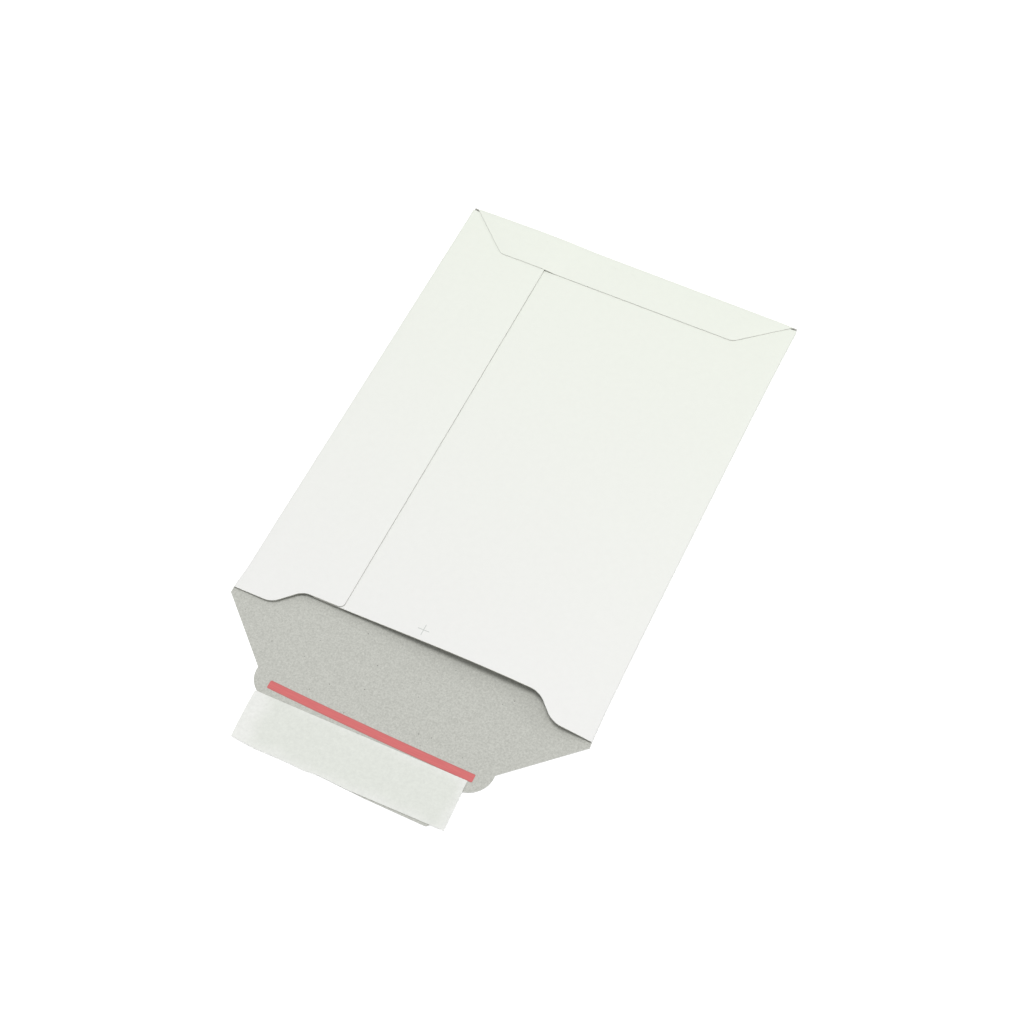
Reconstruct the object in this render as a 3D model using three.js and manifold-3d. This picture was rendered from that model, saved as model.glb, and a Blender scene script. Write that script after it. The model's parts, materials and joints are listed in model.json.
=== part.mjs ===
import * as THREE from 'three';
import { mergeVertices } from 'three/addons/utils/BufferGeometryUtils.js';
import Module from 'manifold-3d';

// Rigid mailing envelope, folded from one sheet of white-lined grey board, lying open on its back.
// All sizes are in millimetres. The closing crease is y = 0 while the pieces are made: the pocket
// runs towards +Y, the open closing flap towards -Y, and the back panel lies on z = 0.

// Board
const boardThickness = 0.6;
const layerGap = 0.25; // between two glued layers
const glueFilm = 0.15;
const creaseGap = 0.3; // between the back panel and the closing flap

// Folded body
const envelopeWidth = 178;
const envelopeLength = 250.5; // closing crease to far fold
const pocketGap = 0.8; // between the back and the front beside the side folds
const leftPanelWidth = 50.4; // left fold to seam
const seamOverlap = 15; // right panel under the left panel

// Mouth
const lipSetback = 2.5; // closing crease to the front's outer lips
const recessWidth = 112; // straight edge between the two S-shaped steps
const recessDepth = 10.5;
const lipRadius = 7.5;
const rampAngle = Math.PI / 4;
const seamCornerRadius = 2.5;

// Spring of the front at the mouth: control points of its arch, from the side folds inwards
const leftSpring = { inset: 66, height: 0.3 };
const rightSpring = { inset: 50.5, height: 10 };

// End flap
const endFlapDepth = 22;
const endFlapInset = 25.8; // each slanted end, at the flap's edge
const endFlapCornerRadius = 5.5;
const cornerRelief = 1.5; // die-cut notch at each far corner
const seamEase = 15; // length over which the end flap comes down from the seam

// Closing flap
const flapDepth = 63.5;
const earRadius = 11.3;
const earSpacing = 95.2; // between the centres of the two ears
const earSetback = 30.4; // closing crease to the ears' centres
const notchAngle = THREE.MathUtils.degToRad(9.2);
const tongueWidth = 85.2;
const tongueCornerRadius = 2.5;

// Tear strip, adhesive and release liner on the closing flap
const tearStrip = { length: 101.4, width: 4.1, thickness: 0.1, setback: 34.5, x: 0.1, skew: -0.0145 };
const adhesive = { length: 80, width: 18, thickness: 0.2, endMargin: 2 };
const liner = { length: 103.6, width: 24.6, thickness: 0.1, endMargin: 1.2, x: -2.9, skew: 0.0115 };

// Glue films
const seamGlueMargin = 1.5; // kept clear of both edges of the overlap
const seamGlueStart = 22; // from the closing crease
const seamGlueEndMargin = 6; // before the end flap
const endGlueLength = 130;
const endGlueWidth = 11;
const endGlueMargin = 5; // from the end flap's edge

// Derived levels and places
const halfWidth = envelopeWidth / 2;
const foldRadius = boardThickness + pocketGap / 2;
const foldX = halfWidth - foldRadius;
const rightPanelTop = 2 * foldRadius;
const seamX = leftPanelWidth - halfWidth;
const underSeamX = seamX - seamOverlap;
const endFlapEdge = envelopeLength - endFlapDepth;
const endFoldRadius = (rightPanelTop + 2 * (layerGap + boardThickness)) / 2;
const panelEnd = envelopeLength - endFoldRadius - layerGap;

const panelStripLength = 12;
const foldStrips = 8;
const sleeveRows = 14;
const joinOverlap = 6; // length over which two parts of the board are merged
const cutMargin = 2; // how far a cutting shape reaches past the board
const cutHeight = 30;

const wasm = await Module();
wasm.setup();

function toSolid(geometry) {
  const bare = geometry.clone();
  bare.deleteAttribute('normal');
  bare.deleteAttribute('uv');
  const merged = mergeVertices(bare, 1e-4);
  return new wasm.Manifold(
    new wasm.Mesh({
      numProp: 3,
      vertProperties: merged.attributes.position.array,
      triVerts: new Uint32Array(merged.index.array),
    }),
  );
}

function toGeometry(solid) {
  const mesh = solid.getMesh();
  const geometry = new THREE.BufferGeometry();
  geometry.setAttribute('position', new THREE.BufferAttribute(mesh.vertProperties, mesh.numProp));
  geometry.setIndex(new THREE.BufferAttribute(mesh.triVerts, 1));
  geometry.computeVertexNormals();
  return geometry;
}

function extrudeUp(shape, bottom, height) {
  const options = { depth: height, bevelEnabled: false, curveSegments: 12 };
  return new THREE.ExtrudeGeometry(shape, options).translate(0, 0, bottom);
}

// Values from one end to the other, in steps no longer than the given one
function spaced(from, to, longestStep) {
  const steps = Math.ceil(Math.abs(to - from) / longestStep);
  return Array.from({ length: steps + 1 }, (_, step) => THREE.MathUtils.lerp(from, to, step / steps));
}

// Height on a line of points [x, z], taken in order of x
function heightOn(line, x) {
  const next = Math.max(1, line.findIndex((point) => point[0] >= x));
  const [x0, z0] = line[next - 1];
  const [x1, z1] = line[next];
  return THREE.MathUtils.mapLinear(x, x0, x1, z0, z1);
}

// A sheet cut into strips and rows, each corner of which is carried to its folded place.
// side is 0 on the white outer face and 1 on the grey inner face.
function foldedSheet(strips, rows, place) {
  const geometry = new THREE.BoxGeometry(1, 1, 1, strips, rows, 1);
  const position = geometry.attributes.position;
  const corner = new THREE.Vector3();
  for (let index = 0; index < position.count; index += 1) {
    corner.fromBufferAttribute(position, index).addScalar(0.5);
    const placed = place(Math.round(corner.x * strips), Math.round(corner.y * rows), Math.round(corner.z));
    position.setXYZ(index, placed.x, placed.y, placed.z);
  }
  return geometry;
}

// The arch in which the front springs open at the mouth, between the two side folds
const mouthArch = new THREE.CubicBezierCurve(
  new THREE.Vector2(-foldX, 0),
  new THREE.Vector2(-halfWidth + leftSpring.inset, leftSpring.height),
  new THREE.Vector2(halfWidth - rightSpring.inset, rightSpring.height),
  new THREE.Vector2(foldX, 0),
).getPoints(80).map((point) => [point.x, point.y]);

// How far the front stands up at a place: the mouth's arch, dying out towards the end flap
function frontLift(x, y) {
  if (Math.abs(x) >= foldX) {
    return 0;
  }
  return heightOn(mouthArch, x) * (1 - THREE.MathUtils.smoothstep(y, lipSetback, endFlapEdge));
}

// Outer face of the left panel: level over the overlap, easing down to the left fold
const leftPanelTop = [
  [-foldX, rightPanelTop],
  [underSeamX, rightPanelTop + layerGap + boardThickness],
  [seamX, rightPanelTop + layerGap + boardThickness],
];

// Outer face of the end flap, which follows the panels under it
const endFlapTop = [
  ...leftPanelTop,
  [seamX + seamEase, rightPanelTop],
  [halfWidth, rightPanelTop],
].map(([x, z]) => [x, z + layerGap + boardThickness]);

// The board's outer face seen from the mouth, from the seam round the back to the edge under the seam
function sleeveSection() {
  const section = [];
  const panelPoint = (x, z) => section.push({ x, z, outX: 0, outZ: 1 });
  const foldPoint = (centreX, angle) => {
    const outX = Math.cos(angle);
    const outZ = Math.sin(angle);
    section.push({ x: centreX + foldRadius * outX, z: foldRadius * (1 + outZ), outX, outZ });
  };
  const foldStep = Math.PI / foldStrips;
  spaced(seamX, underSeamX, panelStripLength).forEach((x) => panelPoint(x, heightOn(leftPanelTop, x)));
  spaced(underSeamX, -foldX, panelStripLength).slice(1, -1)
    .forEach((x) => panelPoint(x, heightOn(leftPanelTop, x)));
  spaced(Math.PI / 2, Math.PI * 1.5, foldStep).forEach((angle) => foldPoint(-foldX, angle));
  spaced(-Math.PI / 2, Math.PI / 2, foldStep).forEach((angle) => foldPoint(foldX, angle));
  spaced(foldX, underSeamX, panelStripLength).slice(1).forEach((x) => panelPoint(x, rightPanelTop));
  return section;
}

// Left panel, side folds, back panel and right panel as one wrapped strip of board
function sleeve() {
  const section = sleeveSection();
  const start = creaseGap / 2;
  return toSolid(foldedSheet(section.length - 1, sleeveRows, (strip, row, side) => {
    const { x, z, outX, outZ } = section[strip];
    const y = THREE.MathUtils.lerp(start, panelEnd, row / sleeveRows);
    const inset = side * boardThickness;
    return new THREE.Vector3(x - outX * inset, y, z - outZ * inset + frontLift(x, y));
  }));
}

// The cut of the front's edge: outer lips, S-shaped steps and the recessed thumb edge between them
function mouthCut() {
  const lip = lipSetback;
  const recess = lipSetback + recessDepth;
  const recessX = recessWidth / 2;
  const arcRise = lipRadius * (1 - Math.cos(rampAngle));
  const rampRun = (recessDepth - 2 * arcRise) / Math.tan(rampAngle);
  const lipX = recessX + 2 * lipRadius * Math.sin(rampAngle) + rampRun;
  const down = -Math.PI / 2;
  const up = Math.PI / 2;
  const outer = halfWidth + cutMargin;
  const shape = new THREE.Shape();
  shape.moveTo(-outer, -cutMargin);
  shape.lineTo(outer, -cutMargin);
  shape.lineTo(outer, lip);
  shape.absarc(lipX, lip + lipRadius, lipRadius, down, down - rampAngle, true);
  shape.absarc(recessX, recess - lipRadius, lipRadius, up - rampAngle, up, false);
  shape.absarc(-recessX, recess - lipRadius, lipRadius, up, up + rampAngle, false);
  shape.absarc(-lipX, lip + lipRadius, lipRadius, down + rampAngle, down, true);
  shape.lineTo(-outer, lip);
  return toSolid(extrudeUp(shape, boardThickness + pocketGap / 4, cutHeight));
}

// The rounded mouth corner of the left panel, cut clear of the right panel under it
function seamCornerCut() {
  const corner = lipSetback + recessDepth;
  const radius = seamCornerRadius;
  const shape = new THREE.Shape();
  shape.moveTo(seamX - radius, corner - cutMargin);
  shape.lineTo(seamX + cutMargin, corner - cutMargin);
  shape.lineTo(seamX + cutMargin, corner + radius);
  shape.absarc(seamX - radius, corner + radius, radius, 0, -Math.PI / 2, true);
  const between = rightPanelTop + layerGap / 2 + frontLift(seamX - radius / 2, corner);
  return toSolid(extrudeUp(shape, between, cutHeight));
}

// End flap with its fold and the edge of the back panel that carries it
function endFlapStrip() {
  const foldEnd = halfWidth - cornerRelief;
  const columns = endFlapTop.map(([x]) => THREE.MathUtils.clamp(x, -foldEnd, foldEnd));
  const angles = spaced(Math.PI / 2, -Math.PI / 2, Math.PI / foldStrips);
  const strips = angles.length + 1;
  return toSolid(foldedSheet(strips, columns.length - 1, (strip, row, side) => {
    const x = columns[row];
    const radius = heightOn(endFlapTop, x) / 2;
    const angle = angles[THREE.MathUtils.clamp(strip - 1, 0, angles.length - 1)];
    const reach = radius - side * boardThickness;
    const folded = envelopeLength - radius + reach * Math.cos(angle);
    const edges = { 0: endFlapEdge, [strips]: panelEnd - joinOverlap };
    return new THREE.Vector3(x, edges[strip] ?? folded, radius + reach * Math.sin(angle));
  }));
}

// Plan of the end flap: slanted ends that start at the far fold, with rounded corners
function endFlapPlan() {
  const rootX = halfWidth - cornerRelief;
  const edgeX = halfWidth - endFlapInset;
  const slant = Math.atan2(endFlapDepth, rootX - edgeX);
  const tangent = endFlapCornerRadius * Math.tan(slant / 2);
  const centreX = edgeX - tangent;
  const centreY = endFlapEdge + endFlapCornerRadius;
  const down = -Math.PI / 2;
  const far = envelopeLength + cutMargin;
  const shape = new THREE.Shape();
  shape.moveTo(-rootX, far);
  shape.lineTo(-rootX, envelopeLength);
  shape.absarc(-centreX, centreY, endFlapCornerRadius, down - slant, down, false);
  shape.absarc(centreX, centreY, endFlapCornerRadius, down, down + slant, false);
  shape.lineTo(rootX, envelopeLength);
  shape.lineTo(rootX, far);
  return toSolid(extrudeUp(shape, -cutMargin, cutHeight));
}

function bodyGeometry() {
  const front = sleeve().subtract(mouthCut()).subtract(seamCornerCut());
  return toGeometry(front.add(endFlapStrip().intersect(endFlapPlan())));
}

// Closing flap: tapered sides, two round ears and the tongue that carries the adhesive
function closingFlapGeometry() {
  const earX = earSpacing / 2;
  const tongueX = tongueWidth / 2;
  const tongueMeet = Math.acos((earX - tongueX) / earRadius);
  const down = -Math.PI / 2;
  const start = -creaseGap / 2;
  const cornerY = tongueCornerRadius - flapDepth;
  const shape = new THREE.Shape();
  shape.moveTo(halfWidth, start);
  shape.lineTo(-halfWidth, start);
  shape.absarc(-earX, -earSetback, earRadius, Math.PI - notchAngle, 2 * Math.PI - tongueMeet, false);
  shape.absarc(tongueCornerRadius - tongueX, cornerY, tongueCornerRadius, Math.PI, Math.PI * 1.5, false);
  shape.absarc(tongueX - tongueCornerRadius, cornerY, tongueCornerRadius, down, 0, false);
  shape.absarc(earX, -earSetback, earRadius, Math.PI + tongueMeet, 2 * Math.PI + notchAngle, false);
  return extrudeUp(shape, 0, boardThickness);
}

// Left panel to right panel: a film in the seam that follows the spring of the front
function seamGlueGeometry() {
  const bottom = rightPanelTop + (layerGap - glueFilm) / 2;
  const x0 = underSeamX + seamGlueMargin;
  const x1 = seamX - seamGlueMargin;
  return foldedSheet(2, sleeveRows, (strip, row, side) => {
    const x = THREE.MathUtils.lerp(x0, x1, strip / 2);
    const y = THREE.MathUtils.lerp(seamGlueStart, endFlapEdge - seamGlueEndMargin, row / sleeveRows);
    return new THREE.Vector3(x, y, bottom + side * glueFilm + frontLift(x, y));
  });
}

// End flap to both panels: a film that follows the end flap's inner face
function endFlapGlueGeometry() {
  const half = endGlueLength / 2;
  const columns = endFlapTop.map(([x]) => THREE.MathUtils.clamp(x, -half, half));
  return foldedSheet(columns.length - 1, 1, (column, row, side) => {
    const x = columns[column];
    const y = endFlapEdge + endGlueMargin + row * endGlueWidth;
    const top = heightOn(endFlapTop, x) - boardThickness - (layerGap - glueFilm) / 2;
    return new THREE.Vector3(x, y, top - (1 - side) * glueFilm);
  });
}

function tearStripGeometry() {
  return new THREE.BoxGeometry(tearStrip.length, tearStrip.width, tearStrip.thickness);
}

function adhesiveGeometry() {
  return new THREE.BoxGeometry(adhesive.length, adhesive.width, adhesive.thickness);
}

function linerGeometry() {
  return new THREE.BoxGeometry(liner.length, liner.width, liner.thickness);
}

function piece(name, geometry, color, roughness) {
  const material = new THREE.MeshStandardMaterial({ color, roughness, metalness: 0 });
  const mesh = new THREE.Mesh(geometry, material);
  mesh.name = name;
  return mesh;
}

function tearStripPiece() {
  const mesh = piece('tear_strip', tearStripGeometry(), '#d67474', 0.45);
  mesh.position.set(tearStrip.x, -tearStrip.setback, boardThickness + tearStrip.thickness / 2);
  mesh.rotation.z = tearStrip.skew;
  return mesh;
}

function adhesivePiece() {
  const mesh = piece('adhesive_strip', adhesiveGeometry(), '#d9d6c4', 0.25);
  const y = adhesive.endMargin + adhesive.width / 2 - flapDepth;
  mesh.position.set(0, y, boardThickness + adhesive.thickness / 2);
  return mesh;
}

function linerPiece() {
  const mesh = piece('release_liner', linerGeometry(), '#e3e6df', 0.5);
  const y = liner.endMargin + liner.width / 2 - flapDepth;
  mesh.position.set(liner.x, y, boardThickness + adhesive.thickness + liner.thickness / 2);
  mesh.rotation.z = liner.skew;
  return mesh;
}

// The envelope stands with its origin under the middle of its outline
const envelope = new THREE.Group();
envelope.position.y = (flapDepth - envelopeLength) / 2;
envelope.add(
  piece('envelope_body', bodyGeometry(), '#f0f3ec', 0.6),
  piece('closing_flap', closingFlapGeometry(), '#c4c5bf', 0.85),
  tearStripPiece(),
  adhesivePiece(),
  linerPiece(),
  piece('seam_glue', seamGlueGeometry(), '#e6dfc8', 0.4),
  piece('end_flap_glue', endFlapGlueGeometry(), '#e6dfc8', 0.4),
);

const scene = new THREE.Group();
scene.add(envelope);

export default scene;
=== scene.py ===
import bpy
import bmesh
import json
import math
from functools import partial
from mathutils import Matrix, Vector
from mathutils.geometry import interpolate_bezier


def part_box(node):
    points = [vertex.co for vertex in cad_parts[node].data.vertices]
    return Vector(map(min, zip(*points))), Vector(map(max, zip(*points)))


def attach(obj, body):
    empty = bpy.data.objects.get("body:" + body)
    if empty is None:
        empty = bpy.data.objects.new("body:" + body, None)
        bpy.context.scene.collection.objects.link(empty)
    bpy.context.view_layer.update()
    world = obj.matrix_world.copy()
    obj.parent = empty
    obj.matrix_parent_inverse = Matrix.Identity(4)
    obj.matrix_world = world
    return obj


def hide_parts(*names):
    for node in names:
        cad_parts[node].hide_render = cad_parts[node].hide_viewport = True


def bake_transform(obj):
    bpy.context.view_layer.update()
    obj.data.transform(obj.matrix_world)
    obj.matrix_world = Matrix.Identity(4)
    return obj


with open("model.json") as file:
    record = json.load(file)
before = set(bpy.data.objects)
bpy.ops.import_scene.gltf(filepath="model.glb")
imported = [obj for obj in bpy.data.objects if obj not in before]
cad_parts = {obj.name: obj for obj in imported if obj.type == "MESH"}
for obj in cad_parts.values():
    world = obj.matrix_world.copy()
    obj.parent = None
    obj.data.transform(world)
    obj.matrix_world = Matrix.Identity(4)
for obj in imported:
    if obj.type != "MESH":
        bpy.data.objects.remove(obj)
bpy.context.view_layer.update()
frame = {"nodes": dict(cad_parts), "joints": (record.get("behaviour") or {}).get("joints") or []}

mm = 0.001
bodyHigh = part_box("envelope_body")[1]
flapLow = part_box("closing_flap")[0]
crease = Vector(frame["joints"][0]["pos_m"])
halfWidth = bodyHigh.x
farEdge = bodyHigh.y
print("frame loaded:", len(frame["nodes"]), "nodes")


# small tools for working in edit mode
def alone(piece):
    if bpy.context.object and bpy.context.object.mode != "OBJECT":
        bpy.ops.object.mode_set(mode="OBJECT")
    bpy.ops.object.select_all(action="DESELECT")
    piece.select_set(True)
    bpy.context.view_layer.objects.active = piece


def edit(piece):
    alone(piece)
    bpy.ops.object.mode_set(mode="EDIT")


def done():
    bpy.ops.object.mode_set(mode="OBJECT")


def middle(element):
    if isinstance(element, bmesh.types.BMFace):
        return element.calc_center_median()
    return sum((v.co for v in element.verts), Vector()) / len(element.verts)


def pick(piece, kind, test):
    bpy.ops.mesh.select_mode(type=kind)
    bpy.ops.mesh.select_all(action="DESELECT")
    mesh = bmesh.from_edit_mesh(piece.data)
    elements = mesh.faces if kind == "FACE" else mesh.edges
    chosen = [e for e in elements if test(e, middle(e))]
    for e in chosen:
        e.select_set(True)
    bmesh.update_edit_mesh(piece.data)
    return len(chosen)


def runsAlong(edge, axis):
    span = edge.verts[1].co - edge.verts[0].co
    return abs(span[axis]) > 0.99 * span.length


def near(a, b, within=0.02 * mm):
    return abs(a - b) < within


def extrude(x=0.0, y=0.0, z=0.0):
    bpy.ops.mesh.extrude_region_move(TRANSFORM_OT_translate={"value": (x, y, z)})


def sized(name, addPrimitive, low, high):
    bpy.ops.object.select_all(action="DESELECT")
    low, high = Vector(low), Vector(high)
    addPrimitive(size=1, location=(low + high) / 2)
    bpy.context.object.scale = high - low
    bpy.ops.object.transform_apply(location=True, rotation=True, scale=True)
    piece = bpy.context.object
    piece.name = name
    return piece


def applyAll(piece):
    alone(piece)
    for modifier in list(piece.modifiers):
        bpy.ops.object.modifier_apply(modifier=modifier.name)


def combine(piece, tool, operation):
    change = piece.modifiers.new("cut", "BOOLEAN")
    change.operation = operation
    change.object = tool
    change.solver = "EXACT"
    change.material_mode = "TRANSFER"
    applyAll(piece)
    bpy.data.objects.remove(tool)


def smoothStep(value, low, high):
    t = min(1.0, max(0.0, (value - low) / (high - low)))
    return t * t * (3 - 2 * t)


def onLine(points, x):
    for a, b in zip(points, points[1:]):
        if x <= b[0]:
            return a[1] + (b[1] - a[1]) * (x - a[0]) / (b[0] - a[0])
    return points[-1][1]


# colours are written as sRGB hex and turned to linear here
def colour(hexValue):
    channels = [int(hexValue[i:i + 2], 16) / 255 for i in (1, 3, 5)]
    linear = [c / 12.92 if c <= 0.04045 else ((c + 0.055) / 1.055) ** 2.4 for c in channels]
    return (*linear, 1.0)


def perMm(size):
    return 1.0 / (size * mm)  # texture scale for a feature of this size


def addNode(tree, kind, links=None, **settings):
    node = tree.nodes.new(kind)
    for name, value in settings.items():
        setattr(node, name, value)
    for socket, value in (links or {}).items():
        if isinstance(value, bpy.types.NodeSocket):
            tree.links.new(value, node.inputs[socket])
        else:
            node.inputs[socket].default_value = value
    return node


def newMaterial(name, attribute=None):
    material = bpy.data.materials.new(name)
    material.use_nodes = True
    tree = material.node_tree
    tree.nodes.clear()
    shader = addNode(tree, "ShaderNodeBsdfPrincipled")
    addNode(tree, "ShaderNodeOutputMaterial", {"Surface": shader.outputs[0]})
    if attribute:
        place = addNode(tree, "ShaderNodeAttribute", attribute_name=attribute).outputs["Vector"]
    else:
        place = addNode(tree, "ShaderNodeTexCoord").outputs["Object"]
    return material, tree, shader, place


noiseSpan = (0.3, 0.7)  # most of what a noise texture gives
# the board bends at its crease, so its patterns follow each point's place when the flap lies open
boardPlace = "openPlace"


# clay-coated white face of the board: matt and very even, with a faint green cast towards the far end
whiteFace = {
    "near": "#efefed", "far": "#eef2e8", "mark": "#c4c8c4",
    "cloudSize": 3.0, "cloudDepth": 0.02, "grainSize": 0.5, "bump": 0.05,
    "roughness": 0.6, "specular": 0.3,
    "markPlace": (-0.7, 18.2), "markLength": 5.6, "markWidth": 0.32,  # fold register, mm from the crease
}


def printedCross(tree, place):
    v = whiteFace
    markX, markY = v["markPlace"]
    offset = addNode(tree, "ShaderNodeVectorMath", {
        0: place, 1: (markX * mm, crease.y + markY * mm, 0)}, operation="SUBTRACT")
    distance = addNode(tree, "ShaderNodeVectorMath", {0: offset.outputs[0]}, operation="ABSOLUTE")
    axes = addNode(tree, "ShaderNodeSeparateXYZ", {0: distance.outputs[0]})
    both = {0: axes.outputs["X"], 1: axes.outputs["Y"]}
    reach = addNode(tree, "ShaderNodeMath", both, operation="MAXIMUM")
    across = addNode(tree, "ShaderNodeMath", both, operation="MINIMUM")
    inLength = addNode(tree, "ShaderNodeMath", {0: reach.outputs[0], 1: v["markLength"] / 2 * mm},
                       operation="LESS_THAN")
    inWidth = addNode(tree, "ShaderNodeMath", {0: across.outputs[0], 1: v["markWidth"] / 2 * mm},
                      operation="LESS_THAN")
    onFront = addNode(tree, "ShaderNodeMath", {0: axes.outputs["Z"], 1: mm}, operation="GREATER_THAN")
    bars = addNode(tree, "ShaderNodeMath", {0: inLength.outputs[0], 1: inWidth.outputs[0]},
                   operation="MULTIPLY")
    return addNode(tree, "ShaderNodeMath", {0: bars.outputs[0], 1: onFront.outputs[0]},
                   operation="MULTIPLY").outputs[0]


def whiteBoard():
    v = whiteFace
    material, tree, shader, place = newMaterial("clayCoatedBoard", boardPlace)
    shader.inputs["Roughness"].default_value = v["roughness"]
    shader.inputs["Specular IOR Level"].default_value = v["specular"]
    axes = addNode(tree, "ShaderNodeSeparateXYZ", {0: place})
    drift = addNode(tree, "ShaderNodeMapRange", {
        "Value": axes.outputs["Y"], "From Min": crease.y, "From Max": farEdge})
    tint = addNode(tree, "ShaderNodeMix", {
        0: drift.outputs[0], 6: colour(v["near"]), 7: colour(v["far"])}, data_type="RGBA")
    clouds = addNode(tree, "ShaderNodeTexNoise", {
        "Vector": place, "Scale": perMm(v["cloudSize"]), "Detail": 6.0, "Roughness": 0.7})
    level = addNode(tree, "ShaderNodeMapRange", {
        "Value": clouds.outputs[0], "From Min": noiseSpan[0], "From Max": noiseSpan[1],
        "To Min": 1 - v["cloudDepth"], "To Max": 1.0})
    coat = addNode(tree, "ShaderNodeVectorMath", {0: tint.outputs[2], 1: level.outputs[0]},
                   operation="MULTIPLY")
    printed = addNode(tree, "ShaderNodeMix", {
        0: printedCross(tree, place), 6: coat.outputs[0], 7: colour(v["mark"])}, data_type="RGBA")
    tree.links.new(printed.outputs[2], shader.inputs["Base Color"])
    grain = addNode(tree, "ShaderNodeTexNoise", {
        "Vector": place, "Scale": perMm(v["grainSize"]), "Detail": 3.0})
    bump = addNode(tree, "ShaderNodeBump", {
        "Height": grain.outputs[0], "Strength": v["bump"], "Distance": 0.05 * mm})
    tree.links.new(bump.outputs[0], shader.inputs["Normal"])
    return material


# uncoated recycled pulp: grey, fibrous, with a few dark specks
greyFace = {
    "light": "#cfd0c9", "dark": "#b2b3ac", "speck": "#858680",
    "fibreSize": 0.85, "speckSize": 5.5, "speckRadius": 0.06, "fibreSpan": (0.36, 0.64),
    "roughness": 0.85, "specular": 0.3, "bump": 0.35,
}


def greyBoard(name="greyPulpBoard", v=greyFace):
    material, tree, shader, place = newMaterial(name, boardPlace)
    shader.inputs["Roughness"].default_value = v["roughness"]
    shader.inputs["Specular IOR Level"].default_value = v["specular"]
    fibres = addNode(tree, "ShaderNodeTexNoise", {
        "Vector": place, "Scale": perMm(v["fibreSize"]), "Detail": 6.0, "Roughness": 0.8})
    mix = addNode(tree, "ShaderNodeValToRGB", {0: fibres.outputs[0]})
    for stop, position, shade in zip(mix.color_ramp.elements, v["fibreSpan"], ("dark", "light")):
        stop.position = position
        stop.color = colour(v[shade])
    cells = addNode(tree, "ShaderNodeTexVoronoi", {"Vector": place, "Scale": perMm(v["speckSize"])})
    speck = addNode(tree, "ShaderNodeMapRange", {
        "Value": cells.outputs["Distance"], "From Min": v["speckRadius"] * 0.6,
        "From Max": v["speckRadius"], "To Min": 1.0, "To Max": 0.0})
    spotted = addNode(tree, "ShaderNodeMix", {
        0: speck.outputs[0], 6: mix.outputs[0], 7: colour(v["speck"])}, data_type="RGBA")
    tree.links.new(spotted.outputs[2], shader.inputs["Base Color"])
    bump = addNode(tree, "ShaderNodeBump", {
        "Height": fibres.outputs[0], "Strength": v["bump"], "Distance": 0.1 * mm})
    tree.links.new(bump.outputs[0], shader.inputs["Normal"])
    return material


# die-cut rim: crushed pulp between the two faces, with a finer grain than the grey face; its colour is
# painted a little paler than the grey one, as painted light that lifts the thin rim lines out of the shade
# they sit in
cutRimPaintedLight = dict(greyFace, light="#d2d2cc", dark="#bcbcb6", fibreSize=0.5)


# the third material, for the rims, carries that painted light
boardMaterials = [whiteBoard(), greyBoard(), greyBoard("cutPulpRimPaintedLight", cutRimPaintedLight)]
print("board materials made")

# the board: one sheet, folded round the pocket and on into the closing flap, in mm and degrees
sheet = {
    "thickness": 0.6, "sideFold": 1.0, "endFold": 1.85, "foldSteps": 10, "gridStep": 4.0,
    "spineBand": 3.5, "spineSteps": 8,
    "leftPanel": 50.05, "overlap": 15.0, "layer": 0.85, "seamCorner": 2.5, "seamLean": 0.35,
    "seamPress": 0.1, "seamReach": 3.0,
    "lipSetback": 2.5, "recessWidth": 112.0, "recessDepth": 10.5, "rampAngle": 45.0,
    "lipRadius": (7.5, 10.0),  # left and right
    "mouthPress": 0.35, "mouthReach": (30.0, -35.0, 15.0),  # the left of the mouth lies flatter
    "mouthFlare": (0.8, 0.25), "flareReach": (28.0, 16.0),  # left and right, fading along flap and pocket
    "leftSpring": (66.0, 0.3), "rightSpring": (50.5, 10.0),  # inset and height of the arch's handles
    "sideBow": 0.9,
    "endFlapDepth": 21.75, "endFlapInset": 25.8, "endFlapCorner": 5.5, "wallInset": 0.5, "slantStart": 2.9,
    "endFlapSkew": (-0.4, 0.4),  # both its corners lie aside, and one is deeper than the other
    "seamEase": (4.0, 20.0),  # how gently it comes down beside the seam, at its edge and its fold
    "press": 0.4, "pressReach": 5.0, "underPress": 0.2, "crush": 0.2,
    "leftEar": (-48.7, -29.0, 11.1), "rightEar": (45.7, -30.5, 12.2),  # middle from the crease, and radius
    "notchAngle": 5.0, "shoulder": 25.0, "tongueWidth": 85.2, "tongueCorner": 2.0,
    "tongueEnd": (-61.2, -63.25), "tongueBend": (12.0, -63.3),  # its corners, and a bend between them
}
foldX = halfWidth - sheet["sideFold"] * mm
lipY = crease.y + sheet["lipSetback"] * mm
recessY = lipY + sheet["recessDepth"] * mm
backEnd = farEdge - sheet["endFold"] * mm
endFlapY = farEdge - sheet["endFlapDepth"] * mm
seamX = sheet["leftPanel"] * mm - halfWidth
underSeamX = seamX - sheet["overlap"] * mm
panelTop = 2 * sheet["sideFold"] * mm
flapLayer = (2 * sheet["endFold"] - sheet["thickness"]) * mm  # underside of the end flap
wallX = halfWidth - sheet["wallInset"] * mm
endFlapX = halfWidth - sheet["endFlapInset"] * mm
slantLength = backEnd - endFlapY + (math.pi * sheet["endFold"] - sheet["slantStart"]) * mm
endSlope = (wallX - endFlapX) / slantLength
margin = 5 * mm
hair = 0.05 * mm  # tells apart faces that lie close


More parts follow.
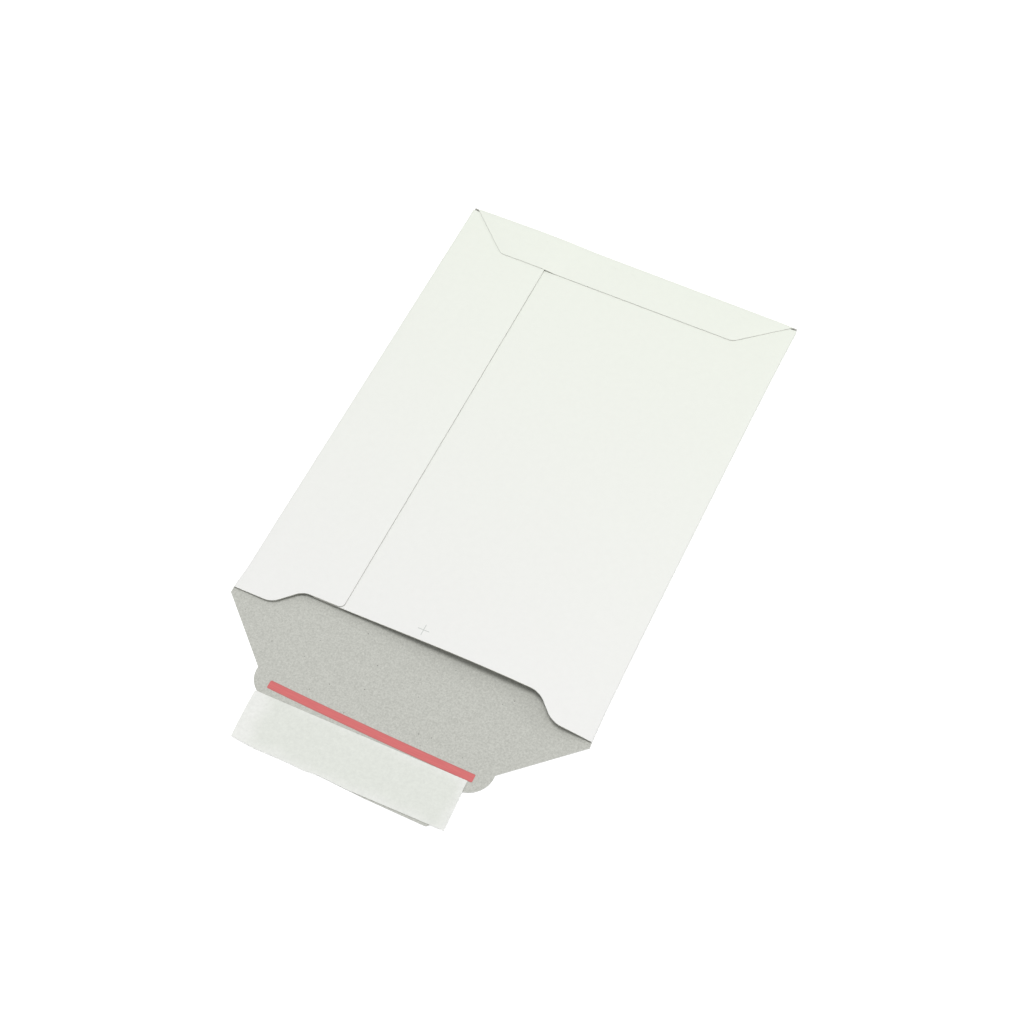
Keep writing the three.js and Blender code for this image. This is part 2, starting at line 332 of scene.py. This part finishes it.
def foldedSheet():
    s = sheet
    board = sized("folded_board", bpy.ops.mesh.primitive_plane_add,
                  (-foldX, lipY, 0), (foldX, backEnd, 0))
    edit(board)
    radius = s["sideFold"] * mm
    spans = {
        1: [(underSeamX - foldX, 0.0)],
        -1: [(underSeamX + foldX, s["layer"] * mm), (seamX - underSeamX, 0.0)],
    }
    for side, steps in spans.items():
        # round the side fold, then across the front
        pick(board, "EDGE", lambda e, c: near(c.x, side * foldX) and near(c.z, 0))
        bpy.ops.mesh.spin(steps=s["foldSteps"], angle=math.pi * side,
                          center=(side * foldX, 0, radius), axis=(0, 1, 0))
        for run, rise in steps:
            extrude(x=run, z=rise)
    # the far fold, and the end flap over the front
    pick(board, "EDGE", lambda e, c: near(c.y, backEnd) and near(c.z, 0) and near(c.x, 0))
    bpy.ops.mesh.spin(steps=s["foldSteps"], angle=math.pi, axis=(-1, 0, 0),
                      center=(0, backEnd, s["endFold"] * mm))
    extrude(y=endFlapY - backEnd)
    slantEndFlap(board)
    # the folds open out flat towards the closing crease, and the flap runs on from there
    pick(board, "EDGE", lambda e, c: near(c.y, lipY) and c.z < 0.8 * radius and not runsAlong(e, 1))
    extrude(y=crease.y - lipY)
    mesh = bmesh.from_edit_mesh(board.data)
    for v in mesh.verts:
        if near(v.co.y, crease.y) and not near(v.co.z, 0):
            arc = radius * math.acos(1 - v.co.z / radius)  # unrolled, at most to the board's own edge
            v.co.x = math.copysign(foldX + min(arc, radius), v.co.x)
            v.co.z = 0.0
    bmesh.update_edit_mesh(board.data)
    extrude(y=flapLow.y - margin - crease.y)
    bpy.ops.mesh.select_all(action="SELECT")
    bpy.ops.mesh.remove_doubles(threshold=0.001 * mm)
    bpy.ops.mesh.normals_make_consistent(inside=False)
    done()
    return board


def endFlapCorner(side):
    aside, along = sheet["endFlapSkew"]
    return side * endFlapX + aside * mm, endFlapY + side * along * mm


def slantEndFlap(board):
    # the wall of the far fold reaches the corners, and the flap's edges slant in from half way up it
    radius = sheet["endFold"] * mm
    mesh = bmesh.from_edit_mesh(board.data)
    for v in mesh.verts:
        onFold = v.co.y > backEnd + 0.01 * mm or v.co.z > 1.9 * radius
        if onFold and near(v.co.y, endFlapY):
            v.co.x, v.co.y = endFlapCorner(math.copysign(1, v.co.x))
        elif onFold:
            arc = radius * math.acos(max(-1.0, 1 - v.co.z / radius))
            slanted = max(0.0, arc - sheet["slantStart"] * mm)
            v.co.x = math.copysign(wallX - endSlope * slanted, v.co.x)
    bmesh.update_edit_mesh(board.data)


def tapered(piece, direction, scaleX):
    edit(piece)
    pick(piece, "FACE", lambda f, c: f.normal.y * direction > 0.9)
    bpy.ops.transform.resize(value=(scaleX, 1, 1), center_override=(0, 0, 0))
    done()
    return piece


def roundEdges(piece, places, offset, segments=8, above=-1.0):
    edit(piece)
    found = pick(piece, "EDGE", lambda e, c: runsAlong(e, 2) and c.z > above and any(
        near(c.x, x, 0.1 * mm) and near(c.y, y, 0.1 * mm) for x, y in places))
    bpy.ops.mesh.bevel(offset=offset, segments=segments, affect="EDGES", clamp_overlap=False)
    done()
    return found


def mouthCutter():
    s = sheet
    ramp = math.tan(math.radians(s["rampAngle"]))
    tangents = [radius * math.tan(math.radians(s["rampAngle"] / 2)) * mm for radius in s["lipRadius"]]
    recessX = s["recessWidth"] / 2 * mm + tangents[0]
    lipX = recessX + s["recessDepth"] * mm / ramp
    nearX = lipX + margin / ramp
    cutter = sized("mouth_cutter", bpy.ops.mesh.primitive_cube_add,
                   (-nearX, lipY - margin, panelTop / 2), (nearX, recessY, 10 * mm))
    tapered(cutter, 1, recessX / nearX)
    corners = [[(side * x, y) for x, y in ((recessX, recessY), (lipX, lipY))] for side in (-1, 1)]
    return cutter, list(zip(corners, tangents))


def moveCorner(piece, old, new):
    edit(piece)
    pick(piece, "EDGE", lambda e, c: runsAlong(e, 2) and near(c.x, old[0]) and near(c.y, old[1]))
    bpy.ops.transform.translate(value=(new[0] - old[0], new[1] - old[1], 0))
    done()


def flapOutline():
    s = sheet
    addCube = bpy.ops.mesh.primitive_cube_add
    shoulder = crease.y - s["shoulder"] * mm  # the sides and the tongue overlap below this line
    tongueX = s["tongueWidth"] / 2 * mm
    # each block has a height of its own, so that no two faces lie in one plane
    outline = sized("flap_outline", addCube, (-halfWidth - margin, crease.y, -4 * mm),
                    (halfWidth + margin, farEdge + margin, 12 * mm))
    sides = sized("flap_sides", addCube, (-halfWidth, shoulder, -3.5 * mm),
                  (halfWidth, crease.y + mm, 11.5 * mm))
    tongue = sized("flap_tongue", addCube, (-tongueX, flapLow.y, -3 * mm),
                   (tongueX, shoulder + mm, 11 * mm))
    bendX, bendY = s["tongueBend"]
    edit(tongue)
    bpy.ops.mesh.select_all(action="SELECT")
    bpy.ops.mesh.bisect(plane_co=(bendX * mm, 0, 0), plane_no=(1, 0, 0))
    moveCorner(tongue, (bendX * mm, flapLow.y), (bendX * mm, crease.y + bendY * mm))
    ears = []
    for side, ear, endY in zip((-1, 1), (s["leftEar"], s["rightEar"]), s["tongueEnd"]):
        earX, earY, radius = ear[0] * mm, crease.y + ear[1] * mm, ear[2] * mm
        notchX = earX + side * radius * math.cos(math.radians(s["notchAngle"]))
        notchY = earY + radius * math.sin(math.radians(s["notchAngle"]))
        taper = (side * halfWidth - notchX) / (crease.y - notchY)
        moveCorner(sides, (side * halfWidth, shoulder), (notchX, notchY))
        moveCorner(sides, (side * halfWidth, crease.y + mm),
                   (side * halfWidth + taper * mm, crease.y + mm))
        moveCorner(tongue, (side * tongueX, flapLow.y), (side * tongueX, crease.y + endY * mm))
        roundEdges(tongue, [(side * tongueX, crease.y + endY * mm)], s["tongueCorner"] * mm)
        bpy.ops.object.select_all(action="DESELECT")
        bpy.ops.mesh.primitive_cylinder_add(vertices=96, radius=radius, depth=13 * mm,
                                            location=(earX, earY, 4 * mm))
        bpy.ops.object.transform_apply(location=True, rotation=True, scale=True)
        ears.append(bpy.context.object)
    for block in (sides, tongue, *ears):
        combine(outline, block, "UNION")
    return outline


def thickenAndCut(board):
    s = sheet
    thicken = board.modifiers.new("thicken", "SOLIDIFY")
    thicken.thickness = s["thickness"] * mm
    thicken.offset = -1
    thicken.use_even_offset = True
    thicken.material_offset = 1
    thicken.material_offset_rim = 2
    applyAll(board)
    outline = flapOutline()
    outline.data.materials.append(boardMaterials[2])
    combine(board, outline, "INTERSECT")
    cutter, lipCorners = mouthCutter()
    cutter.data.materials.append(boardMaterials[2])
    combine(board, cutter, "DIFFERENCE")
    for corners, tangent in lipCorners:
        print("lip corners rounded:", roundEdges(board, corners, tangent, above=panelTop / 2))
    print("seam corner rounded:", roundEdges(
        board, [(seamX, recessY)], s["seamCorner"] * mm, above=panelTop))
    slant = math.atan2(1, endSlope)
    print("end flap corners rounded:", roundEdges(
        board, [endFlapCorner(side) for side in (1, -1)],
        s["endFlapCorner"] * mm * math.tan(slant / 2), above=panelTop))


def lines(low, high, step):
    count = math.ceil((high - low) / step)
    return [low + (high - low) * i / count for i in range(1, count)]


def refine(board):
    s = sheet
    half = s["spineBand"] / 2 * mm
    spine = lines(crease.y - half, crease.y + half, s["spineBand"] * mm / s["spineSteps"])
    across = lines(-foldX, foldX, s["gridStep"] * mm)
    along = lines(flapLow.y, backEnd, s["gridStep"] * mm)
    edit(board)
    for axis, values in (((1, 0, 0), across), ((0, 1, 0), sorted([*along, *spine]))):
        for value in values:
            bpy.ops.mesh.select_all(action="SELECT")
            bpy.ops.mesh.bisect(plane_co=[value * a for a in axis], plane_no=axis)
    done()


def archLine():
    s = sheet
    handles = [(-foldX / mm, 0.0), (s["leftSpring"][0] - halfWidth / mm, s["leftSpring"][1]),
               (halfWidth / mm - s["rightSpring"][0], s["rightSpring"][1]), (foldX / mm, 0.0)]
    points = interpolate_bezier(*[Vector((*h, 0)) for h in handles], 120)
    return [(p.x * mm, p.y * mm) for p in points]


def insideEndFlap(x, y):
    # from its free edge or its slanted ones, less than zero outside
    return min(y - endFlapY, y - endFlapY + (endFlapX - abs(x)) / endSlope)


def endFlapSink(x, y, z):
    s = sheet
    edgeEase, foldEase = s["seamEase"]
    ease = edgeEase + (foldEase - edgeEase) * smoothStep(y, endFlapY, backEnd)
    high = flapLayer + s["thickness"] * mm
    low = high - s["layer"] * mm
    overSeam = [(-foldX, low), (underSeamX, high), (seamX, high),
                (seamX + ease * mm, low), (halfWidth, low)]
    press = s["press"]
    if z > flapLayer + s["thickness"] / 2 * mm:
        press += s["crush"]  # the outer face
    press *= 1 - smoothStep(insideEndFlap(x, y), 0, s["pressReach"] * mm)
    return (high - onLine(overSeam, x) + press * mm) * smoothStep(z, s["thickness"] * mm, flapLayer)


def panelRise(x, y, z, arch):
    s = sheet
    rise = onLine(arch, x) * (1 - smoothStep(y, lipY, endFlapY))
    rise -= s["underPress"] * mm * smoothStep(insideEndFlap(x, y), -s["pressReach"] * mm, 0)
    if z > panelTop + hair:
        rise -= s["seamPress"] * mm * (1 - smoothStep(seamX - x, 0, s["seamReach"] * mm))
    return rise


def mouthSink(x, y, z):
    s = sheet
    deep, closed, opened = [value * mm for value in s["mouthReach"]]
    flatter = (1 - smoothStep(y, recessY, recessY + deep)) * (1 - smoothStep(x, closed, opened))
    backFace, panelFace = s["thickness"] * mm, panelTop - s["thickness"] * mm
    return s["mouthPress"] * mm * flatter * smoothStep(z, backFace + hair, panelFace - hair)


def sideShift(x, y):
    s = sheet
    shift = 0.0
    if x > 0 and y > crease.y:
        middleY = (crease.y + farEdge) / 2
        along = abs(y - middleY) / (farEdge - middleY)
        shift -= s["sideBow"] * mm * (x / halfWidth) ** 2 * (1 - along ** 4)
    fade = max(0.0, 1 - abs(y - crease.y) / (s["flareReach"][0 if y < crease.y else 1] * mm))
    return shift + s["mouthFlare"][0 if x < 0 else 1] * mm * fade * x / halfWidth


def springOpen(board):
    arch = archLine()
    lean = sheet["seamLean"] * mm
    for v in board.data.vertices:
        x, y, z = v.co
        if y > backEnd + 0.001 * mm or (z > flapLayer - hair and y > endFlapY - mm):
            v.co.z -= endFlapSink(x, y, z)
        elif z > 1.2 * sheet["sideFold"] * mm and abs(x) < foldX:
            v.co.z += panelRise(x, y, z, arch)
            if z > panelTop + hair:
                v.co.x -= lean * smoothStep(x, underSeamX, seamX) * smoothStep(y, recessY, farEdge)
        v.co.z -= mouthSink(x, y, z)
        v.co.x += sideShift(x, y)


board = foldedSheet()
print("sheet folded:", len(board.data.polygons), "faces")
for m in boardMaterials:
    board.data.materials.append(m)
thickenAndCut(board)
refine(board)
springOpen(board)
openPlaces = board.data.attributes.new(boardPlace, "FLOAT_VECTOR", "POINT")
for v, place in zip(board.data.vertices, openPlaces.data):
    place.vector = v.co
alone(board)
bpy.ops.object.shade_smooth_by_angle(angle=math.radians(30))
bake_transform(board)
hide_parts("envelope_body", "closing_flap")
print("board cut and sprung:", len(board.data.polygons), "faces")


# strips of film and paper on the flap: a fine grid, laid point by point, then given its thickness
def thinStrip(name, node, step, thickness, laid):
    low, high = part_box(node)
    columns, rows = [round(span / (step * mm)) for span in (high - low)[:2]]
    addGrid = partial(bpy.ops.mesh.primitive_grid_add, x_subdivisions=columns, y_subdivisions=rows)
    strip = sized(name, addGrid, (low.x, low.y, high.z), high)
    for v in strip.data.vertices:
        across, up = [(v.co[i] - low[i]) / (high[i] - low[i]) for i in (0, 1)]
        x, y, lift = laid(across, up)
        v.co = (x * mm, crease.y + y * mm, high.z + lift * mm)
    thicken = strip.modifiers.new("thicken", "SOLIDIFY")
    thicken.thickness = thickness * mm
    thicken.offset = -1
    thicken.use_even_offset = True
    applyAll(strip)
    bpy.ops.object.shade_smooth_by_angle(angle=math.radians(30))
    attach(strip, "flap")
    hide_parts(node)
    return strip


# tear tape: dyed film, satin, paler where it isn't wetted by its glue
tape = {
    "left": -51.3, "right": 50.2, "width": 4.1, "thickness": 0.1, "step": 0.4, "corner": 0.5,
    "leftY": -33.4, "rightY": -34.85, "bow": 0.45,  # its middle line, mm from the crease
    "red": "#d56e6d", "deep": "#cb6566", "edge": "#be6b69", "edgeShare": (0.36, 0.47),
    "streak": (9.0, 0.35), "streakSpan": (0.35, 0.65), "bump": 0.15, "roughness": 0.5, "specular": 0.35,
}


def tearFilm():
    v = tape
    material, tree, shader, place = newMaterial("dyedTearFilm")
    shader.inputs["Roughness"].default_value = v["roughness"]
    shader.inputs["Specular IOR Level"].default_value = v["specular"]
    along, across = v["streak"]
    stretched = addNode(tree, "ShaderNodeMapping", {
        "Vector": place, "Scale": (perMm(along), perMm(across), perMm(across))})
    streaks = addNode(tree, "ShaderNodeTexNoise", {
        "Vector": stretched.outputs[0], "Scale": 1.0, "Detail": 4.0})
    dye = addNode(tree, "ShaderNodeValToRGB", {0: streaks.outputs[0]})
    for stop, position, shade in zip(dye.color_ramp.elements, v["streakSpan"], ("deep", "red")):
        stop.position = position
        stop.color = colour(v[shade])
    # the slit edges are a deeper red: the strip's own UV runs across its width
    width = addNode(tree, "ShaderNodeSeparateXYZ", {0: addNode(tree, "ShaderNodeUVMap").outputs[0]})
    offMiddle = addNode(tree, "ShaderNodeMath", {0: width.outputs["Y"], 1: 0.5}, operation="SUBTRACT")
    away = addNode(tree, "ShaderNodeMath", {0: offMiddle.outputs[0]}, operation="ABSOLUTE")
    edge = addNode(tree, "ShaderNodeMapRange", {
        "Value": away.outputs[0], "From Min": v["edgeShare"][0], "From Max": v["edgeShare"][1]})
    film = addNode(tree, "ShaderNodeMix", {
        0: edge.outputs[0], 6: dye.outputs[0], 7: colour(v["edge"])}, data_type="RGBA")
    tree.links.new(film.outputs[2], shader.inputs["Base Color"])
    bump = addNode(tree, "ShaderNodeBump", {
        "Height": streaks.outputs[0], "Strength": v["bump"], "Distance": 0.05 * mm})
    tree.links.new(bump.outputs[0], shader.inputs["Normal"])
    return material


def tearTape():
    t = tape

    def laid(across, up):
        past = max(0.0, abs(up - 0.5) * t["width"] - t["width"] / 2 + t["corner"])
        inset = t["corner"] - math.sqrt(max(0.0, t["corner"] ** 2 - past ** 2))
        x = t["left"] + inset + (t["right"] - t["left"] - 2 * inset) * across
        middleLine = t["leftY"] + (t["rightY"] - t["leftY"]) * across
        bow = t["bow"] * 4 * across * (1 - across)
        return x, middleLine - bow + t["width"] * (up - 0.5), 0.0

    strip = thinStrip("tear_tape", "tear_strip", t["step"], t["thickness"], laid)
    strip.data.materials.append(tearFilm())
    print("tear tape laid")


# release liner: siliconised paper, thin enough to show the grey board where the adhesive holds it down
liner = {
    "left": -55.1, "right": 49.2, "topLeft": -38.9, "topRight": -36.9, "leftLean": 1.4, "rightLean": -1.0,
    "bottom": [(-53.7, -62.7), (-42, -63.4), (-27, -63.0), (-18, -63.2),
               (-11, -62.6), (4, -63.1), (14, -62.8), (49.2, -61.8)],
    "thickness": 0.1, "step": 1.0, "curl": 0.5, "curlShare": 0.12, "ripple": 0.06,
    "held": "#dee1da", "loose": "#e9eae6", "heldBox": ((-51.0, 51.5), (-66.0, -33.0)), "feather": 9.0,
    "wanderSize": 9.0, "wander": 6.0,  # how unevenly the held part's edge runs
    "fibreSize": 1.5, "fibreLevel": (0.94, 1.04), "bump": 0.2, "roughness": 0.5, "specular": 0.35,
}


def linerPaper():
    v = liner
    material, tree, shader, place = newMaterial("siliconisedPaper")
    shader.inputs["Roughness"].default_value = v["roughness"]
    shader.inputs["Specular IOR Level"].default_value = v["specular"]
    fibres = addNode(tree, "ShaderNodeTexNoise", {
        "Vector": place, "Scale": perMm(v["fibreSize"]), "Detail": 5.0, "Roughness": 0.65})
    wander = addNode(tree, "ShaderNodeTexNoise", {
        "Vector": place, "Scale": perMm(v["wanderSize"]), "Detail": 2.0})
    shift = addNode(tree, "ShaderNodeVectorMath", {
        0: wander.outputs["Color"], 1: (0.5, 0.5, 0.5)}, operation="SUBTRACT")
    moved = addNode(tree, "ShaderNodeVectorMath", {
        0: shift.outputs[0], 1: (v["wander"] * mm, v["wander"] * mm, 0), 2: place},
        operation="MULTIPLY_ADD")
    axes = addNode(tree, "ShaderNodeSeparateXYZ", {0: moved.outputs[0]})
    (x0, x1), (y0, y1) = v["heldBox"]
    inside = None
    for axis, low, high in (("X", x0 * mm, x1 * mm), ("Y", crease.y + y0 * mm, crease.y + y1 * mm)):
        reach = addNode(tree, "ShaderNodeMath", {0: axes.outputs[axis], 1: (low + high) / 2},
                        operation="SUBTRACT")
        away = addNode(tree, "ShaderNodeMath", {0: reach.outputs[0]}, operation="ABSOLUTE")
        edge = addNode(tree, "ShaderNodeMapRange", {
            "Value": away.outputs[0], "From Min": (high - low) / 2 - v["feather"] * mm,
            "From Max": (high - low) / 2, "To Min": 1.0, "To Max": 0.0}, interpolation_type="SMOOTHSTEP")
        inside = edge if inside is None else addNode(tree, "ShaderNodeMath", {
            0: inside.outputs[0], 1: edge.outputs[0]}, operation="MULTIPLY")
    tint = addNode(tree, "ShaderNodeMix", {
        0: inside.outputs[0], 6: colour(v["loose"]), 7: colour(v["held"])}, data_type="RGBA")
    level = addNode(tree, "ShaderNodeMapRange", {
        "Value": fibres.outputs[0], "From Min": noiseSpan[0], "From Max": noiseSpan[1],
        "To Min": v["fibreLevel"][0], "To Max": v["fibreLevel"][1]})
    paper = addNode(tree, "ShaderNodeVectorMath", {0: tint.outputs[2], 1: level.outputs[0]},
                    operation="MULTIPLY")
    tree.links.new(paper.outputs[0], shader.inputs["Base Color"])
    bump = addNode(tree, "ShaderNodeBump", {
        "Height": fibres.outputs[0], "Strength": v["bump"], "Distance": 0.1 * mm})
    tree.links.new(bump.outputs[0], shader.inputs["Normal"])
    return material


def releaseLiner():
    t = liner

    def laid(across, up):
        lean = t["leftLean"] * (1 - across) ** 6 * (1 - up) ** 1.5 + t["rightLean"] * across ** 6 * up
        x = t["left"] + (t["right"] - t["left"]) * across + lean
        top = t["topLeft"] + (t["topRight"] - t["topLeft"]) * across
        y = onLine(t["bottom"], x) * (1 - up) + top * up
        curl = t["curl"] * smoothStep(t["curlShare"] - across, 0, t["curlShare"]) * (1 - 0.5 * up)
        ripple = t["ripple"] * (1 + math.sin(0.21 * x + 0.3 * y) * math.sin(0.13 * x - 0.4 * y))
        return x, y, curl + ripple

    strip = thinStrip("liner_paper", "release_liner", t["step"], t["thickness"], laid)
    strip.data.materials.append(linerPaper())
    print("release liner laid")


# hot-melt adhesive: clear, faintly amber, glossy, with the ripple of its roller
glue = {"clear": "#e6e2d2", "amber": "#d9d0b4", "rollerSize": 2.5, "bump": 0.4, "roughness": 0.25}


def hotMelt():
    v = glue
    material, tree, shader, place = newMaterial("hotMeltAdhesive")
    shader.inputs["Roughness"].default_value = v["roughness"]
    flow = addNode(tree, "ShaderNodeTexNoise", {
        "Vector": place, "Scale": perMm(v["rollerSize"]), "Detail": 3.0, "Distortion": 0.6})
    tint = addNode(tree, "ShaderNodeMix", {
        0: flow.outputs[0], 6: colour(v["clear"]), 7: colour(v["amber"])}, data_type="RGBA")
    tree.links.new(tint.outputs[2], shader.inputs["Base Color"])
    bump = addNode(tree, "ShaderNodeBump", {
        "Height": flow.outputs[0], "Strength": v["bump"], "Distance": 0.1 * mm})
    tree.links.new(bump.outputs[0], shader.inputs["Normal"])
    return material


def glueFilms():
    melt = hotMelt()
    for node in ("adhesive_strip", "seam_glue", "end_flap_glue"):
        bands = frame["nodes"][node].data.materials
        bands.clear()
        bands.append(melt)
    print("glue films finished")


tearTape()
releaseLiner()
glueFilms()


# studio: pale floor, soft lights, camera
studio = {
    "floorSize": 6.0, "floor": "#ececec", "floorGap": 0.1, "glow": 0.45, "world": 0.48,
    "lamps": {
        "key": {"place": (-0.3, -0.15, 4.4), "size": 2.0, "power": 99},
        "fill": {"place": (3.0, 0.8, 1.0), "size": 1.2, "power": 16},
    },
}


def background(tree):
    # what the camera sees, also in gloss and through clear things, is the plain white backdrop
    path = addNode(tree, "ShaderNodeLightPath")
    seen = path.outputs["Is Camera Ray"]
    for ray in ("Is Glossy Ray", "Is Transmission Ray"):
        either = addNode(tree, "ShaderNodeMath", {0: seen, 1: path.outputs[ray]}, operation="MAXIMUM")
        seen = either.outputs[0]
    return seen


def makeFloor():
    bpy.ops.object.select_all(action="DESELECT")
    bpy.ops.mesh.primitive_plane_add(size=studio["floorSize"], location=(0, 0, -studio["floorGap"] * mm))
    floor = bpy.context.object
    floor.name = "floor"
    material = bpy.data.materials.new("paleFloor")
    material.use_nodes = True
    tree = material.node_tree
    tree.nodes.clear()
    strength = addNode(tree, "ShaderNodeMath", {
        0: background(tree), 1: studio["glow"]}, operation="MULTIPLY")
    glow = addNode(tree, "ShaderNodeEmission", {"Strength": strength.outputs[0]})
    matt = addNode(tree, "ShaderNodeBsdfDiffuse", {"Color": colour(studio["floor"])})
    both = addNode(tree, "ShaderNodeAddShader", {0: matt.outputs[0], 1: glow.outputs[0]})
    addNode(tree, "ShaderNodeOutputMaterial", {"Surface": both.outputs[0]})
    floor.data.materials.append(material)


def makeWorld():
    world = bpy.data.worlds.new("studio")
    bpy.context.scene.world = world
    world.use_nodes = True
    tree = world.node_tree
    tree.nodes.clear()
    strength = addNode(tree, "ShaderNodeMapRange", {
        "Value": background(tree), "To Min": studio["world"], "To Max": 1.0})
    sky = addNode(tree, "ShaderNodeBackground", {
        "Color": colour("#ffffff"), "Strength": strength.outputs[0]})
    addNode(tree, "ShaderNodeOutputWorld", {"Surface": sky.outputs[0]})


def softLight(name, place, size, power):
    light = bpy.data.lights.new(name, "AREA")
    light.shape = "DISK"
    light.size = size
    light.energy = power
    lamp = bpy.data.objects.new(name, light)
    bpy.context.scene.collection.objects.link(lamp)
    lamp.location = place
    lamp.rotation_mode = "QUATERNION"
    lamp.rotation_quaternion = (-Vector(place)).to_track_quat("-Z", "Y")


makeFloor()
makeWorld()
for name, lamp in studio["lamps"].items():
    softLight(name, **lamp)

# camera where the photograph was taken from, worked out from the envelope's own corners
shot = {
    "lens": 69.07,
    "place": (205.82, -340.05, 782.13),  # mm from the middle of the closing crease
    "right": (0.9023824, 0.43082868, 0.00962607),
    "up": (-0.37226297, 0.76807323, 0.52104107),
}


def makeCamera():
    data = bpy.data.cameras.new("camera")
    data.lens = shot["lens"]
    data.clip_start = 0.05
    camera = bpy.data.objects.new("camera", data)
    bpy.context.scene.collection.objects.link(camera)
    right, up = Vector(shot["right"]), Vector(shot["up"])
    turn = Matrix((right, up, right.cross(up))).transposed().to_4x4()
    place = Vector(shot["place"]) * mm + Vector((0, crease.y, 0))
    camera.matrix_world = Matrix.Translation(place) @ turn
    bpy.context.scene.camera = camera


makeCamera()
bpy.context.scene.view_settings.view_transform = "Standard"
print("studio ready")
